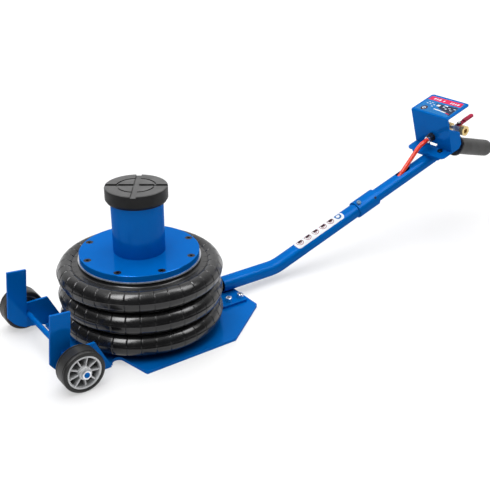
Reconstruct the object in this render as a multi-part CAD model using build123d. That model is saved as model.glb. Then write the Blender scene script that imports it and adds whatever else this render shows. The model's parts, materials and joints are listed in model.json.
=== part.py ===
"""Air-bag lever jack: a three-convolution rubber air bag lifts a plate with an extension pillar and rubber saddle.
Two wheels and two parking legs at the front, a bent tube handle with an air control head and a grip at the rear.
Millimetres, +Z up, +X towards the handle. The origin is on the ground, under the axis of the bag."""
from build123d import *
from math import cos, pi, radians, sin
import os

# ---------------------------------------------------------------- driving dimensions
running_clearance = 0.05
screw_clearance = 0.1
m8_radius = 4.0
m6_radius = 3.0

# base plate
base_thickness = 6.0
base_half_width = 157.0
base_front_x = -81.5
base_side_end_x = 108.0
base_rear_x = 217.0
base_rear_half_width = 77.0
tongue_front_x = -160.0
notch_x = -106.3
notch_y = 98.0
notch_radius = 11.0

# front end
side_plate_inner = 96.5
side_plate_thickness = 5.0
leg_thickness = 5.0
axle_x = -190.5
axle_z = 38.5
axle_radius = 5.0
axle_half_length = 153.5

# wheels
wheel_radius = 38.4
wheel_inner_y = 110.0
wheel_outer_y = 144.0
rim_radius = 30.8
rim_inside_radius = 27.8
hub_boss_radius = 11.3
hub_boss_end_y = 147.0
hub_web_y = 119.0
hub_web_thickness = 3.0
rib_count = 9
retainer_flats = 15.0
retainer_end_y = 152.0

# air bag
bag_pitch = 44.0
bulge_centre_radius = 137.0
bulge_radius = 17.0
rubber_wall = 4.0
neck_radius = 112.8
neck_height = 20.5
neck_lip_radius = 90.0
valley_gap = 0.2
girdle_wire_radius = 4.0
flange_thickness = 10.0
clamp_ring_outer = 108.0
clamp_ring_thickness = 6.0

# air way under the bag
channel_height = 8.0
air_bore = 2.5
air_entry_x = 75.0
elbow_x = 166.0
hose_seat = 4.0

# telescopic guide
guide_radii = (40.0, 37.0, 34.0, 31.0, 28.0)
guide_tops = (136.0, 138.0, 140.0)

# lift head
lift_plate_radius = 111.0
lift_plate_thickness = 12.0
bead_flange_radius = 113.6
bead_flange_thickness = 2.0
bead_flange_bore = 60.0
bolt_circle = 101.0
bolt_first_angle = -6.5
bolt_count = 8
bolt_head_radius = 7.0
spigot_radius = 44.0
spigot_height = 30.0
spigot_wall = 5.0
pillar_radius = 48.0
pillar_cap_thickness = 6.0
saddle_radius = 57.0
saddle_bottom_z = 257.5
saddle_top_z = 285.0
saddle_socket_depth = 14.5
saddle_channel_width = 10.0
saddle_channel_angles = (-35.0, 55.0)
saddle_ring_radius = 36.0

# handle: foot, lower tube, sleeve, upper tube and grip
foot_x = (150.0, 209.0)
foot_half_width = 56.0
foot_thickness = 5.0
foot_screw_x = (173.0, 201.0)
foot_screw_y = 40.5
lower_tube_radius = 16.0
upper_tube_radius = 15.0
tube_wall = 2.0
tube_start_x = 182.0
bend_x = 321.0
handle_rise = 18.5
lower_bend_radius = 100.0
upper_bend_radius = 60.0
sleeve_radius = 19.25
sleeve_start = 238.5
sleeve_end = 299.5
sleeve_screw_at = 247.0
sleeve_screw_tilt = 22.0
set_screw_at = 288.5
set_screw_tilt = 57.0
slot_start = 372.5
slot_end = 414.5
slot_width = 14.0
grip_bend = 548.0
grip_drop = 32.4
grip_start = 22.0
grip_end = 154.0
grip_radius = 20.2
grip_collar_radius = 25.0
grip_collar_length = 6.0

# air hose
hose_radius = 5.0
hose_offset = -5.0
hose_bend_radii = [150, 82, 57]
hose_dip_at = 359.0
hose_crest_at = 460.0
hose_end_at = 492.0
hose_end_height = 49.5

# handle label: where it lies along the tube and round it, in degrees from the top
label_start = 62.0
label_end = 200.0
label_middle_angle = 11.0
label_half_angle = 38.0
label_film = 0.3

# control head, in the handle's own frame: along the tube, across it, and square to it
head_front = 499.5
head_half_width = 55.0
head_top = 110.0
head_low = 20.0
head_depth = 74.0
head_foot_length = 32.0
sheet_thickness = 3.0
valve_along = 553.5
valve_height = 50.0
valve_across = 36.0
valve_end_y = 42.0
inlet_bore = 5.9
inlet_flats = 22.0
inlet_end_y = 53.0
air_way = 3.0
ball_bore = 3.5

# ---------------------------------------------------------------- worked-out sizes
flange_top = base_thickness + flange_thickness
bulge_z = [flange_top + neck_height + k * bag_pitch for k in range(3)]
valley_z = [bulge_z[0] + bag_pitch / 2, bulge_z[1] + bag_pitch / 2]
bead_z = bulge_z[2] + neck_height
lift_plate_bottom = bead_z + bead_flange_thickness
lift_plate_top = lift_plate_bottom + lift_plate_thickness
foot_top = base_thickness + foot_thickness
tube_z = foot_top + lower_tube_radius
channel_top = base_thickness + channel_height
channel_z = base_thickness + channel_height / 2
hose_z = tube_z + hose_offset
sleeve_middle = (sleeve_start + sleeve_end) / 2
m8_hole = m8_radius + screw_clearance
m6_hole = m6_radius + screw_clearance
handle_frame = Plane(
    origin=(bend_x, 0, tube_z),
    x_dir=(cos(radians(handle_rise)), 0, sin(radians(handle_rise))),
    z_dir=(-sin(radians(handle_rise)), 0, cos(radians(handle_rise))),
).location

os.makedirs("parts", exist_ok=True)


# ---------------------------------------------------------------- helpers
def save(name, shape):
    """Writes one sub-part, named by its file."""
    export_step(shape, f"parts/{name}.step")


def rod(radius, start, end):
    """A round bar between two points."""
    start = Vector(*start)
    end = Vector(*end)
    plane = Plane(origin=start, z_dir=end - start)
    return plane.location * Cylinder(
        radius, (end - start).length, align=(Align.CENTER, Align.CENTER, Align.MIN)
    )


def upright(radius, x, y, z_low, z_high):
    """An upright round bar, or a hole when it is taken away."""
    return rod(radius, (x, y, z_low), (x, y, z_high))


def hexagon(across_flats, start, end):
    """A hexagonal bar between two points."""
    start = Vector(*start)
    end = Vector(*end)
    plane = Plane(origin=start, z_dir=end - start)
    section = plane * RegularPolygon(across_flats / 2, 6, major_radius=False)
    return extrude(section, (end - start).length)


def ring(outer, inner, z_low, z_high):
    """An upright ring about the bag's axis."""
    return upright(outer, 0, 0, z_low, z_high) - upright(inner, 0, 0, z_low - 1, z_high + 1)


def block(x_range, y_range, z_range):
    """A rectangular block from its limits."""
    size = [high - low for low, high in (x_range, y_range, z_range)]
    middle = [(high + low) / 2 for low, high in (x_range, y_range, z_range)]
    return Pos(*middle) * Box(*size)


def plate_xz(points, y_low, y_high):
    """A flat plate standing in the XZ plane, cut to an outline."""
    face = make_face(Polyline(*[(x, y_low, z) for x, z in points], close=True))
    return extrude(face, y_high - y_low, dir=(0, 1, 0))


def bolt_places():
    """Where the screws stand that clamp either end of the bag."""
    angles = [radians(bolt_first_angle + 360 / bolt_count * k) for k in range(bolt_count)]
    return [(bolt_circle * cos(a), bolt_circle * sin(a)) for a in angles]


def socket_screw(head_radius, head_height, shank_radius, shank_length, key, key_depth=0.55):
    """A hexagon-socket cap screw, head up, with the seat of its head at the origin."""
    screw = rod(head_radius, (0, 0, 0), (0, 0, head_height))
    screw += rod(shank_radius, (0, 0, -shank_length), (0, 0, 0))
    screw = chamfer(screw.edges().sort_by(Axis.Z)[-1], 0.6)
    return screw - hexagon(key, (0, 0, head_height * (1 - key_depth)), (0, 0, head_height + 1))


# ---------------------------------------------------------------- base and front end
def foot_screw_places():
    """Where the handle's foot is screwed to the base."""
    return [(x, side * foot_screw_y) for x in foot_screw_x for side in (-1, 1)]


def make_base():
    """Ground plate: a wide body with cut rear corners, and a tongue between the side plates."""
    side = [
        (tongue_front_x, side_plate_inner),
        (notch_x + notch_radius, side_plate_inner),
        (base_front_x, base_half_width),
        (base_side_end_x, base_half_width),
        (base_rear_x, base_rear_half_width),
    ]
    outline = side + [(x, -y) for x, y in reversed(side)]
    plate = extrude(make_face(Polyline(*outline, close=True)), base_thickness)
    for y in (-notch_y, notch_y):
        plate -= upright(notch_radius, notch_x, y, -1, base_thickness + 1)
    upright_edges = plate.edges().filter_by(Axis.Z)
    plate = fillet(upright_edges.filter_by(lambda e: abs(e.center().Y) > base_half_width - 1), 3)
    rear_edges = plate.edges().filter_by(Axis.Z).filter_by(lambda e: e.center().X > base_rear_x - 1)
    plate = fillet(rear_edges, 6)
    for x, y in foot_screw_places():
        plate -= upright(m8_hole, x, y, -1, base_thickness + 1)
    save("base_plate", plate)


def make_front_end():
    """Side plates, parking legs, axle and what holds the wheels on it."""
    side_outline = [
        (-210, 61),
        (-149, 61),
        (-123, 7),
        (-121.5, 0.5),
        (-152, 0.5),
        (-166, 7),
        (-190, 11),
        (-202, 15),
        (-210, 20),
    ]
    leg_outline = [(-222, 135), (-186, 131.5), (-197.6, 14), (-212, 21), (-221, 29), (-231, 43)]
    inner = side_plate_inner
    outer = side_plate_inner + side_plate_thickness
    hole = rod(axle_radius + running_clearance, (axle_x, -200, axle_z), (axle_x, 200, axle_z))
    for name, low, high, leg_low in (
        ("left", -outer, -inner, -inner),
        ("right", inner, outer, inner - leg_thickness),
    ):
        save(f"{name}_side_plate", plate_xz(side_outline, low, high) - hole)
        save(f"{name}_parking_leg", plate_xz(leg_outline, leg_low, leg_low + leg_thickness) - hole)
    axle = rod(axle_radius, (axle_x, -axle_half_length, axle_z), (axle_x, axle_half_length, axle_z))
    save("axle", chamfer(axle.edges().filter_by(GeomType.CIRCLE), 0.8))
    spacer_radius = 9.0
    end_play = 0.4
    spacers = []
    retainers = []
    for side in (-1, 1):
        spacer_ends = [(axle_x, side * y, axle_z) for y in (outer, wheel_inner_y - end_play)]
        retainer_ends = [(axle_x, side * y, axle_z) for y in (hub_boss_end_y + end_play, retainer_end_y)]
        spacers.append(rod(spacer_radius, *spacer_ends) - hole)
        retainers.append(hexagon(retainer_flats, *retainer_ends) - axle)
    save("wheel_spacers", Compound(children=spacers))
    save("wheel_retainers", Compound(children=retainers))


def make_wheel(name, side):
    """A rubber tyre on a plastic hub: a rim, a boss, and ribs on both faces of the web between them."""
    def across(radius, y_low, y_high):
        return rod(radius, (axle_x, side * y_low, axle_z), (axle_x, side * y_high, axle_z))

    tyre = across(wheel_radius, wheel_inner_y, wheel_outer_y)
    tyre = fillet(tyre.edges().filter_by(GeomType.CIRCLE), 3.0)
    tyre -= across(rim_radius, wheel_inner_y - 1, wheel_outer_y + 1)
    save(f"{name}_wheel_tyre", tyre)

    rib_inset = 3.0
    web_ends = (hub_web_y, hub_web_y + hub_web_thickness)
    rib_ends = (wheel_inner_y + rib_inset, wheel_outer_y - rib_inset)
    rib_thickness = 2.1
    first_rib = 8.0
    hub = across(rim_radius, wheel_inner_y + 1, wheel_outer_y - 1)
    hub -= across(rim_inside_radius, wheel_inner_y, web_ends[0])
    hub -= across(rim_inside_radius, web_ends[1], wheel_outer_y)
    hub += across(hub_boss_radius, wheel_inner_y, hub_boss_end_y)
    reach = (hub_boss_radius - 2, rim_inside_radius + 1)
    rib = block(reach, rib_ends, (-rib_thickness / 2, rib_thickness / 2))
    rib -= block(reach, web_ends, (-rib_thickness, rib_thickness))
    for k in range(rib_count):
        turned = Rot(0, 360 / rib_count * k + first_rib, 0) * rib
        if side < 0:
            turned = mirror(turned, about=Plane.XZ)
        hub += Pos(axle_x, 0, axle_z) * turned
    hub -= across(axle_radius + running_clearance, wheel_inner_y - 1, hub_boss_end_y + 1)
    save(f"{name}_wheel_hub", hub)


# ---------------------------------------------------------------- air bag
def bag_section(centre, bottom_neck, top_neck):
    """Half section of one convolution: a round bulge between two valleys, or a clamped neck at an end."""
    inner_neck = neck_radius - rubber_wall
    shoulder_height = 8.0
    shoulder_reach = 6.2

    def half(sign, neck):
        """Outer and inner points from the bulge to the end, above (sign 1) or below (sign -1)."""
        def at(radius, height):
            return (radius, 0, centre + sign * height)

        if neck:
            slope = bulge_radius * sin(radians(45))
            inner_slope = (bulge_radius - rubber_wall) * sin(radians(45))
            outer_points = [
                at(bulge_centre_radius - slope, slope),
                at(neck_radius + shoulder_reach, shoulder_height),
                at(neck_radius + 1.7, shoulder_height),
                at(neck_radius, shoulder_height + rubber_wall),
                at(neck_radius, neck_height),
                at(neck_lip_radius, neck_height),
            ]
            inner_points = [
                at(bulge_centre_radius - inner_slope, inner_slope),
                at(neck_radius + shoulder_reach + 1, shoulder_height - rubber_wall),
                at(inner_neck + 3.2, shoulder_height - rubber_wall),
                at(inner_neck, shoulder_height + 2),
                at(inner_neck, neck_height - rubber_wall),
                at(neck_lip_radius, neck_height - rubber_wall),
            ]
        else:
            end = bag_pitch / 2 - valley_gap
            valley_radius = neck_radius + 0.4
            outer_points = [
                at(bulge_centre_radius, bulge_radius),
                at(valley_radius, bulge_radius),
                at(valley_radius, end),
            ]
            inner_points = [
                at(bulge_centre_radius, bulge_radius - rubber_wall),
                at(valley_radius - rubber_wall, bulge_radius - rubber_wall),
                at(valley_radius - rubber_wall, end),
            ]
        return outer_points, inner_points

    top_outer, top_inner = half(1, top_neck)
    low_outer, low_inner = half(-1, bottom_neck)
    outer_mid = (bulge_centre_radius + bulge_radius, 0, centre)
    inner_mid = (bulge_centre_radius + bulge_radius - rubber_wall, 0, centre)
    edges = [
        ThreePointArc(low_outer[0], outer_mid, top_outer[0]),
        Polyline(*top_outer),
        Line(top_outer[-1], top_inner[-1]),
        Polyline(*reversed(top_inner)),
        ThreePointArc(top_inner[0], inner_mid, low_inner[0]),
        Polyline(*low_inner),
        Line(low_inner[-1], low_outer[-1]),
        Polyline(*reversed(low_outer)),
    ]
    return make_face(Wire([edge for part in edges for edge in part.edges()]))


def make_bag():
    """Three convolutions, and the girdle rings in the two valleys between them."""
    for k, name in enumerate(("lower", "middle", "upper")):
        shape = revolve(bag_section(bulge_z[k], k == 0, k == 2), Axis.Z)
        if name != "middle":
            clamped_z = bulge_z[k] + (neck_height if name == "upper" else -neck_height)
            for x, y in bolt_places():
                shape -= upright(m8_hole, x, y, clamped_z - rubber_wall - 2, clamped_z + rubber_wall + 2)
        save(f"bag_{name}_convolution", shape)
    girdle_gap = 0.7
    for name, z in zip(("lower", "upper"), valley_z):
        wire_centre = neck_radius + girdle_gap + girdle_wire_radius
        wire = Plane.XZ * Pos(wire_centre, z) * Circle(girdle_wire_radius)
        save(f"{name}_girdle_ring", revolve(wire, Axis.Z))


def make_bag_clamps():
    """What holds the bag's ends: the flange on the base, a clamp ring at each end, and the lower screws."""
    flange_bore = 20.0
    flange = ring(neck_radius, flange_bore, base_thickness, flange_top)
    flange -= rod(air_bore, (air_entry_x, 0, channel_z), (neck_radius + 5, 0, channel_z))
    flange -= upright(air_bore, air_entry_x, 0, channel_z, flange_top + 1)
    low_seat = flange_top + rubber_wall
    high_seat = bead_z - rubber_wall
    low_clamp = ring(clamp_ring_outer, neck_lip_radius, low_seat, low_seat + clamp_ring_thickness)
    high_clamp = ring(clamp_ring_outer, neck_lip_radius, high_seat - clamp_ring_thickness, high_seat)
    hole = m8_radius + running_clearance
    screw = socket_screw(6.5, 5, m8_radius, 17, 5)
    screws = []
    for x, y in bolt_places():
        flange -= upright(hole, x, y, base_thickness + 2, flange_top + 1)
        low_clamp -= upright(hole, x, y, flange_top, low_seat + clamp_ring_thickness + 1)
        high_clamp -= upright(hole, x, y, high_seat - clamp_ring_thickness - 1, bead_z)
        screws.append(Pos(x, y, low_seat + clamp_ring_thickness) * screw)
    save("bag_base_flange", flange)
    save("lower_clamp_ring", low_clamp)
    save("upper_clamp_ring", high_clamp)
    save("lower_clamp_screws", Compound(children=screws))


def make_guide():
    """Telescopic guide inside the bag: four nested tubes that keep the lift plate level."""
    names = ("guide_outer_tube", "guide_second_stage", "guide_third_stage", "guide_inner_stage")
    tops = guide_tops + (lift_plate_bottom,)
    floor_step = 2.0
    for k, name in enumerate(names):
        outer = guide_radii[k] if k == 0 else guide_radii[k] - running_clearance
        save(name, ring(outer, guide_radii[k + 1], flange_top + floor_step * k, tops[k]))


def make_air_channel():
    """Drilled bar that leads the air under the bag, and the elbow that the hose plugs into."""
    bar_half_width = 9.0
    bar_end = 7.5
    bar = block((100, elbow_x + bar_end), (-bar_half_width, bar_half_width), (base_thickness, channel_top))
    bar -= upright(neck_radius, 0, 0, 0, channel_top + 1)
    bar -= rod(air_bore, (neck_radius - 5, 0, channel_z), (elbow_x, 0, channel_z))
    bar -= upright(air_bore, elbow_x, 0, channel_z, channel_top + 1)
    save("air_channel_bar", bar)
    neck = 6.5
    socket = 7.5
    socket_end = elbow_x + 25
    elbow = upright(neck, elbow_x, 0, channel_top, hose_z + neck)
    elbow += rod(socket, (elbow_x - 2, 0, hose_z), (socket_end, 0, hose_z))
    elbow -= rod(hose_radius, (elbow_x + hose_seat, 0, hose_z), (socket_end + 1, 0, hose_z))
    elbow -= rod(air_bore, (elbow_x, 0, hose_z), (elbow_x + hose_seat + 1, 0, hose_z))
    elbow -= upright(air_bore, elbow_x, 0, channel_top - 1, hose_z)
    save("air_inlet_elbow", elbow)


# ---------------------------------------------------------------- lift head
def make_lift_head():
    """Lift plate with its bolts, the bead flange under it, the spigot and the extension pillar."""
    plate = upright(lift_plate_radius, 0, 0, lift_plate_bottom, lift_plate_top)
    plate = chamfer(plate.edges().sort_by(Axis.Z)[-1], 0.8)
    bead_flange = ring(bead_flange_radius, bead_flange_bore, bead_z, lift_plate_bottom)
    head_height = 4.0
    head_sink = 2.0
    grip_length = 9.0
    key = 5.0
    bolts = []
    for x, y in bolt_places():
        seat = Pos(x, y, lift_plate_top - head_sink)
        hole = upright(m8_hole, x, y, bead_z - 1, lift_plate_top + 1)
        plate -= seat * Cone(m8_hole, bolt_head_radius + screw_clearance, head_height) + hole
        bead_flange -= hole
        shank = upright(m8_radius, x, y, bead_z - grip_length, lift_plate_top - head_height)
        bolt = seat * Cone(m8_radius, bolt_head_radius, head_height) + shank
        bolts.append(bolt - hexagon(key, (x, y, lift_plate_top - 3), (x, y, lift_plate_top + 1)))
    save("lift_plate", plate)
    save("upper_bead_flange", bead_flange)
    save("lift_plate_bolts", Compound(children=bolts))

    spigot_top = lift_plate_top + spigot_height
    spigot = ring(spigot_radius, spigot_radius - spigot_wall, lift_plate_top, spigot_top)
    save("pillar_spigot", chamfer(spigot.edges().group_by(Axis.Z)[-1], 1.2))
    pillar_top = saddle_bottom_z + saddle_socket_depth
    bore = spigot_radius + running_clearance
    pillar = upright(pillar_radius, 0, 0, lift_plate_top, pillar_top)
    pillar -= upright(bore, 0, 0, lift_plate_top - 1, pillar_top - pillar_cap_thickness)
    save("extension_pillar", pillar)


def make_saddle():
    """Rubber saddle: a cap over the pillar's top, with four raised pads and a ring groove."""
    channel_depth = 3.0
    groove_depth = 2.0
    groove_width = 3.5
    pad = upright(saddle_radius, 0, 0, saddle_bottom_z, saddle_top_z)
    pad = fillet(pad.edges().sort_by(Axis.Z)[-1], 2.5)
    pad = chamfer(pad.edges().sort_by(Axis.Z)[0], 5.0, 3.0)
    pad -= upright(pillar_radius, 0, 0, saddle_bottom_z - 1, saddle_bottom_z + saddle_socket_depth)
    half = saddle_channel_width / 2
    channel = block((-80, 80), (-half, half), (saddle_top_z - channel_depth, saddle_top_z + 1))
    for angle in saddle_channel_angles:
        pad -= Rot(0, 0, angle) * channel
    groove_inner = saddle_ring_radius - groove_width
    save("saddle_pad", pad - ring(saddle_ring_radius, groove_inner, saddle_top_z - groove_depth, saddle_top_z))


# ---------------------------------------------------------------- handle
def along_handle(u, v, y=0.0):
    """A point on the handle: u along the rising tube from its lower bend, v square to it."""
    a = radians(handle_rise)
    return (bend_x + u * cos(a) - v * sin(a), y, tube_z + u * sin(a) + v * cos(a))


def grip_point(distance):
    """A point on the grip's axis, in the handle's own frame."""
    a = radians(grip_drop)
    return (grip_bend + distance * cos(a), 0, -distance * sin(a))


def around_tube(u, radius, tilt):
    """A point in the handle's own frame at a radius about the tube's axis, tilted from the top to the left."""
    return (u, -radius * sin(radians(tilt)), radius * cos(radians(tilt)))


def tube_along(points, bend_radius, outer):
    """A round tube swept along a path with one rounded bend."""
    path = FilletPolyline(*points, radius=bend_radius)
    plane = Plane(origin=path @ 0, z_dir=path % 0)
    return sweep(plane * Circle(outer), path=path) - sweep(plane * Circle(outer - tube_wall), path=path)


def make_handle_foot():
    """Foot plate under the lower tube, and its four screws."""
    foot = block(foot_x, (-foot_half_width, foot_half_width), (base_thickness, foot_top))
    foot = fillet(foot.edges().filter_by(Axis.Z), 5)
    relief_end = elbow_x + 8
    foot -= block((foot_x[0] - 1, relief_end), (-9.3, 9.3), (base_thickness - 1, foot_top + 1))
    screw = socket_screw(6.5, 8, m8_radius, 10, 6.5, 0.8)
    screws = []
    for x, y in foot_screw_places():
        foot -= upright(m8_hole, x, y, base_thickness - 1, foot_top + 1)
        screws.append(Pos(x, y, foot_top) * screw)
    save("handle_foot_plate", foot)
    save("foot_screws", Compound(children=screws))


def make_handle_tubes():
    """Lower tube, coupling sleeve with its screws, and upper tube."""
    butt_gap = 0.3
    lower_points = [
        (tube_start_x, 0, tube_z),
        (bend_x, 0, tube_z),
        along_handle(sleeve_middle - butt_gap, 0),
    ]
    plug_end = grip_end - 8
    upper_points = [(sleeve_middle + butt_gap, 0, 0), (grip_bend, 0, 0), grip_point(plug_end)]
    lower = tube_along(lower_points, lower_bend_radius, lower_tube_radius)
    upper = tube_along(upper_points, upper_bend_radius, upper_tube_radius)
    slot_place = Pos((slot_start + slot_end) / 2, 0, upper_tube_radius / 2)
    slot = extrude(slot_place * SlotOverall(slot_end - slot_start, slot_width), upper_tube_radius)

    sleeve = rod(sleeve_radius, (sleeve_start, 0, 0), (sleeve_end, 0, 0))
    sleeve = chamfer(sleeve.edges().filter_by(GeomType.CIRCLE), 0.8)
    sleeve -= rod(lower_tube_radius + running_clearance, (sleeve_start - 1, 0, 0), (sleeve_middle, 0, 0))
    sleeve -= rod(upper_tube_radius + running_clearance, (sleeve_middle - 1, 0, 0), (sleeve_end + 1, 0, 0))
    reach = sleeve_radius + 10
    screw_hole = rod(
        m6_hole,
        around_tube(sleeve_screw_at, reach, sleeve_screw_tilt),
        around_tube(sleeve_screw_at, -reach, sleeve_screw_tilt),
    )
    screw = rod(m6_radius, (0, 0, lower_tube_radius - tube_wall), (0, 0, sleeve_radius))
    screw += Pos(0, 0, sleeve_radius) * socket_screw(5, 4, m6_radius, 1, 3)
    screws = [
        handle_frame * Pos(sleeve_screw_at, 0, 0) * Rot(sleeve_screw_tilt + turn, 0, 0) * screw
        for turn in (0, 180)
    ]
    set_hole = rod(
        m6_radius,
        around_tube(set_screw_at, upper_tube_radius, set_screw_tilt),
        around_tube(set_screw_at, reach, set_screw_tilt),
    )
    set_screw = rod(
        m6_radius,
        around_tube(set_screw_at, upper_tube_radius + 0.15, set_screw_tilt),
        around_tube(set_screw_at, sleeve_radius, set_screw_tilt),
    )
    set_socket = hexagon(
        3,
        around_tube(set_screw_at, upper_tube_radius + 2, set_screw_tilt),
        around_tube(set_screw_at, reach, set_screw_tilt),
    )
    save("handle_lower_tube", lower - handle_frame * screw_hole)
    save("handle_upper_tube", handle_frame * (upper - slot))
    save("handle_sleeve", handle_frame * (sleeve - screw_hole - set_hole))
    save("sleeve_screws", Compound(children=screws))
    save("sleeve_set_screw", handle_frame * (set_screw - set_socket))


def make_hose():
    """Air hose: from the base elbow through the tubes, out of the slot and up to the head's fitting."""
    route = [
        (elbow_x + hose_seat, 0, hose_z),
        (bend_x + 0.8, 0, hose_z),
        along_handle(hose_dip_at, hose_offset),
        along_handle(hose_crest_at, hose_end_height),
        along_handle(hose_end_at, hose_end_height),
    ]
    path = FilletPolyline(*route, radius=hose_bend_radii)
    plane = Plane(origin=path @ 0, z_dir=path % 0)
    hose = sweep(plane * Circle(hose_radius), path=path)
    length = path.length
    print("hose bend radii", hose_bend_radii, "length", round(length, 1))
    print("hose volume ratio", round(hose.volume / (pi * hose_radius**2 * length), 4))
    save("supply_hose", hose)


def make_grip():
    """Rubber grip with a collar at its inner end and a rounded tip."""
    start = grip_point(grip_start)
    grip = rod(grip_radius, start, grip_point(grip_end))
    tip_edge = grip.edges().filter_by(GeomType.CIRCLE).sort_by(Axis.X)[-1]
    grip = fillet(tip_edge, 15)
    grip += rod(grip_collar_radius, start, grip_point(grip_start + grip_collar_length))
    grip -= rod(upper_tube_radius, grip_point(grip_start - 1), grip_point(grip_end - 8))
    save("grip", handle_frame * grip)


def make_handle_label():
    """Curved film on the rising part of the lower tube."""
    length = label_end - label_start
    film = rod(lower_tube_radius + label_film, (label_start, 0, 0), (label_end, 0, 0))
    film -= rod(lower_tube_radius, (label_start - 1, 0, 0), (label_end + 1, 0, 0))
    reach = 60.0
    half_angle = radians(label_half_angle)
    wedge = [(0, 0), (-reach * sin(half_angle), reach * cos(half_angle))]
    wedge.append((reach * sin(half_angle), reach * cos(half_angle)))
    face = make_face(Polyline(*[(label_start - 1, y, z) for y, z in wedge], close=True))
    cutter = Rot(label_middle_angle, 0, 0) * extrude(face, length + 2, dir=(1, 0, 0))
    save("handle_label", handle_frame * (film & cutter))


# ---------------------------------------------------------------- control head
def make_head_bracket():
    """Bent sheet: a foot flange, an upright front and a top panel, with a tab at each side."""
    t = sheet_thickness
    foot_end = head_front - head_foot_length
    panel_end = head_front + head_depth
    outline = [
        (foot_end, head_low),
        (head_front + t, head_low),
        (head_front + t, head_top - t),
        (panel_end, head_top - t),
        (panel_end, head_top),
        (head_front, head_top),
        (head_front, head_low + t),
        (foot_end, head_low + t),
    ]
    sheet = plate_xz(outline, -head_half_width, head_half_width)
    panel_corners = sheet.edges().filter_by(Axis.Z).filter_by(lambda e: e.center().X > panel_end - 1)
    sheet = fillet(panel_corners, 6)
    foot_corners = sheet.edges().filter_by(Axis.Z).filter_by(lambda e: e.center().X < foot_end + 1)
    sheet = fillet(foot_corners, 10)
    bend = sheet.edges().filter_by(Axis.Y).group_by(Axis.Z)[-1].sort_by(Axis.X)[0]
    sheet = fillet(bend, 3)
    tab = [
        (head_front + t, head_low),
        (head_front + 25, head_low),
        (head_front + 33, head_low + 8),
        (head_front + 33, 60),
        (head_front + t, 82),
    ]
    for y in (-head_half_width, head_half_width - t):
        sheet += plate_xz(tab, y, y + t)
    window = (-13, 13)
    sheet -= block((head_front - 1, head_front + t + 1), window, (head_low + t, head_low + t + 10))
    fitting_hole = 8.0
    sheet -= rod(fitting_hole, (head_front - 1, 0, valve_height), (head_front + t + 1, 0, valve_height))

    mount_half_width = 40.0
    mount = block(
        (head_front - 30, head_front),
        (-mount_half_width, mount_half_width),
        (upper_tube_radius - 2, head_low),
    )
    mount -= rod(upper_tube_radius, (head_front - 40, 0, 0), (head_front + 10, 0, 0))
    screw = socket_screw(6, 3.5, m6_radius, 8, 4)
    screw_x = head_front - 9
    screws = []
    for y in (-28, 28):
        hole = upright(m6_hole, screw_x, y, 0, head_low + t + 1)
        sheet -= hole
        mount -= hole
        screws.append(Pos(screw_x, y, head_low + t) * screw)
    save("control_head_bracket", handle_frame * sheet)
    save("head_mount_plate", handle_frame * mount)
    save("head_bracket_screws", handle_frame * Compound(children=screws))

    film = 0.4
    margin = 5.5
    label_y = head_half_width - margin
    label = block((head_front + margin, panel_end - margin), (-label_y, label_y), (head_top, head_top + film))
    label = fillet(label.edges().filter_by(Axis.Z), 3)
    save("panel_label", handle_frame * label)


def make_head_inlet():
    """Bulkhead fitting, the collet that grips the hose, and the tee that feeds both valves."""
    def along(radius, start, end, v=valve_height):
        return rod(radius, (start, 0, v), (end, 0, v))

    body_start = head_front - 13
    body_flats = 17.0
    shoulder_radius = 10.0
    shoulder_start = head_front - 5
    neck_fit_radius = 8.0
    stub_radius = 6.0
    nut_flats = 22.0
    nut_start = head_front + sheet_thickness
    nut_end = nut_start + 6
    tee_start = valve_along - 22
    fitting = along(shoulder_radius, shoulder_start, head_front)
    fitting += hexagon(body_flats, (body_start, 0, valve_height), (shoulder_start, 0, valve_height))
    fitting += along(neck_fit_radius, head_front, nut_start)
    fitting += hexagon(nut_flats, (nut_start, 0, valve_height), (nut_end, 0, valve_height))
    fitting += along(stub_radius, nut_end, tee_start)
    fitting -= along(hose_radius, head_front - 20, hose_end_at, hose_end_height)
    fitting -= along(air_way, hose_end_at - 2, tee_start + 1)
    save("bulkhead_fitting", handle_frame * fitting)
    collet_radius = 7.5
    collet = along(collet_radius, body_start - 4, body_start, hose_end_height)
    collet -= along(hose_radius, body_start - 5, body_start + 1, hose_end_height)
    save("hose_collet", handle_frame * collet)

    run_radius = 9.0
    branch_radius = 8.0
    branch_flats = 18.0
    tee = rod(run_radius, (valve_along, -12, valve_height), (valve_along, 12, valve_height))
    tee += hexagon(branch_flats, (tee_start, 0, valve_height), (valve_along - 10, 0, valve_height))
    tee += along(branch_radius, valve_along - 12, valve_along)
    tee -= rod(air_way, (valve_along, -13, valve_height), (valve_along, 13, valve_height))
    tee -= along(air_way, tee_start - 1, valve_along)
    save("manifold_tee", handle_frame * tee)


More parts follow.
